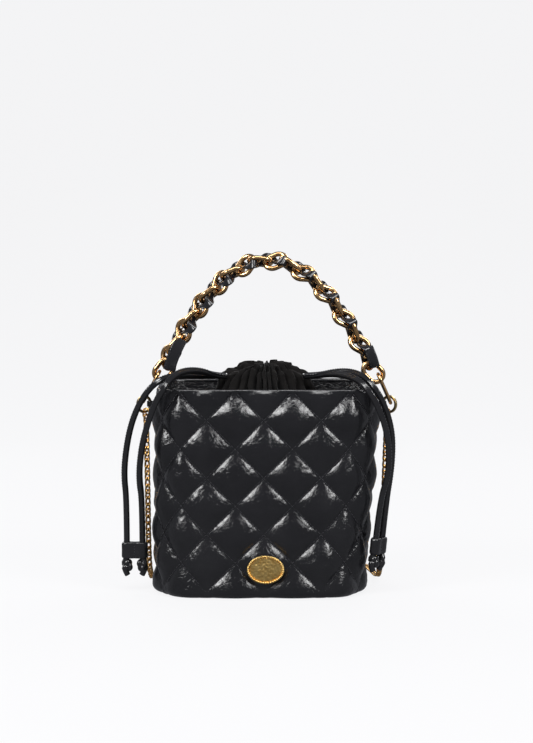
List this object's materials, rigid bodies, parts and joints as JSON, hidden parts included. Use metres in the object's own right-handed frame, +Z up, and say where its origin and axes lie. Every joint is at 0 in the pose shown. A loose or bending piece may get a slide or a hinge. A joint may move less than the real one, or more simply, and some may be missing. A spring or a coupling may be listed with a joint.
{
  "type": "bucket bag",
  "caption": "Small quilted leather bucket bag with a drawstring mouth, woven chain handle, side rings and a long shoulder chain.",
  "frame": {"origin": "centre of the base on the surface the bag stands on", "axes": "+Z up, -Y to the front face with the plaque, +X to the right seen from the front"},
  "size_m": [0.2426, 0.2345, 0.2958],
  "materials": {
    "body_leather": "glossy crinkled",
    "facing_leather": "glossy wrinkled",
    "trim_leather": "smooth satin",
    "cord_leather": "glossy, stitched ridge",
    "strip_leather": "satin",
    "collar_cloth": "matte",
    "lining": "matte weave",
    "foam": "open foam",
    "board": "plain",
    "handle_metal": "antique polished",
    "chain_metal": "polished amber",
    "ring_metal": "brushed antique",
    "plaque_metal": "hammered"
  },
  "bodies": {
    "bag": {"quilted_body_front": "body_leather", "quilted_body_back": "body_leather", "quilt_padding": "foam", "base_panel": "body_leather", "base_board": "board", "lining_floor": "lining", "lining_wall": "lining", "rim_facing": "facing_leather", "drawstring_collar": "collar_cloth", "drawcord_front_channel": "cord_leather", "drawcord_back_channel": "cord_leather", "shoulder_chain": "chain_metal", "side_tab_left": "trim_leather", "side_tab_right": "trim_leather", "emblem_plaque": "plaque_metal", "emblem_washers": "ring_metal", "connecting_link_left": "handle_metal", "connecting_link_right": "handle_metal", "drawcord_front_left": "cord_leather", "drawcord_back_left": "cord_leather", "drawcord_front_right": "cord_leather", "drawcord_back_right": "cord_leather", "knot_front_left": "cord_leather", "knot_back_left": "cord_leather", "knot_front_right": "cord_leather", "knot_back_right": "cord_leather"},
    "handle": {"handle_link_01": "handle_metal", "handle_link_02": "handle_metal", "handle_link_03": "handle_metal", "handle_link_04": "handle_metal", "handle_link_05": "handle_metal", "handle_link_06": "handle_metal", "handle_link_07": "handle_metal", "handle_link_08": "handle_metal", "handle_link_09": "handle_metal", "handle_link_10": "handle_metal", "handle_link_11": "handle_metal", "handle_link_12": "handle_metal", "handle_link_13": "handle_metal", "handle_link_14": "handle_metal", "handle_link_15": "handle_metal", "handle_link_16": "handle_metal", "handle_link_17": "handle_metal", "handle_link_18": "handle_metal", "handle_link_19": "handle_metal", "handle_link_20": "handle_metal", "handle_link_21": "handle_metal", "handle_link_22": "handle_metal", "handle_leather_strip": "strip_leather"},
    "ring_left": {"ring_left": "ring_metal"},
    "ring_right": {"ring_right": "ring_metal"},
    "keeper_left": {"keeper_left": "trim_leather"},
    "keeper_right": {"keeper_right": "trim_leather"}
  },
  "joints": [
    {"name": "handle_swing", "type": "hinge", "parent": "bag", "child": "handle", "pos_m": [0.007, -0.00419, 0.1853], "axis": [1, 0, 0], "range_deg": [-38, 28]},
    {"name": "ring_left_turn", "type": "hinge", "parent": "bag", "child": "ring_left", "pos_m": [-0.09634, 0, 0.1623], "axis": [0, 0, 1], "range_deg": [-5, 5]},
    {"name": "ring_right_turn", "type": "hinge", "parent": "bag", "child": "ring_right", "pos_m": [0.1082, 0, 0.1623], "axis": [0, 0, 1], "range_deg": [-5, 5]},
    {"name": "keeper_left_slide", "type": "slide", "parent": "bag", "child": "keeper_left", "axis": [0, 0, 1], "range_m": [0, 0.02]},
    {"name": "keeper_right_slide", "type": "slide", "parent": "bag", "child": "keeper_right", "axis": [0.0995, 0, 0.995], "range_m": [0, 0.016]}
  ]
}
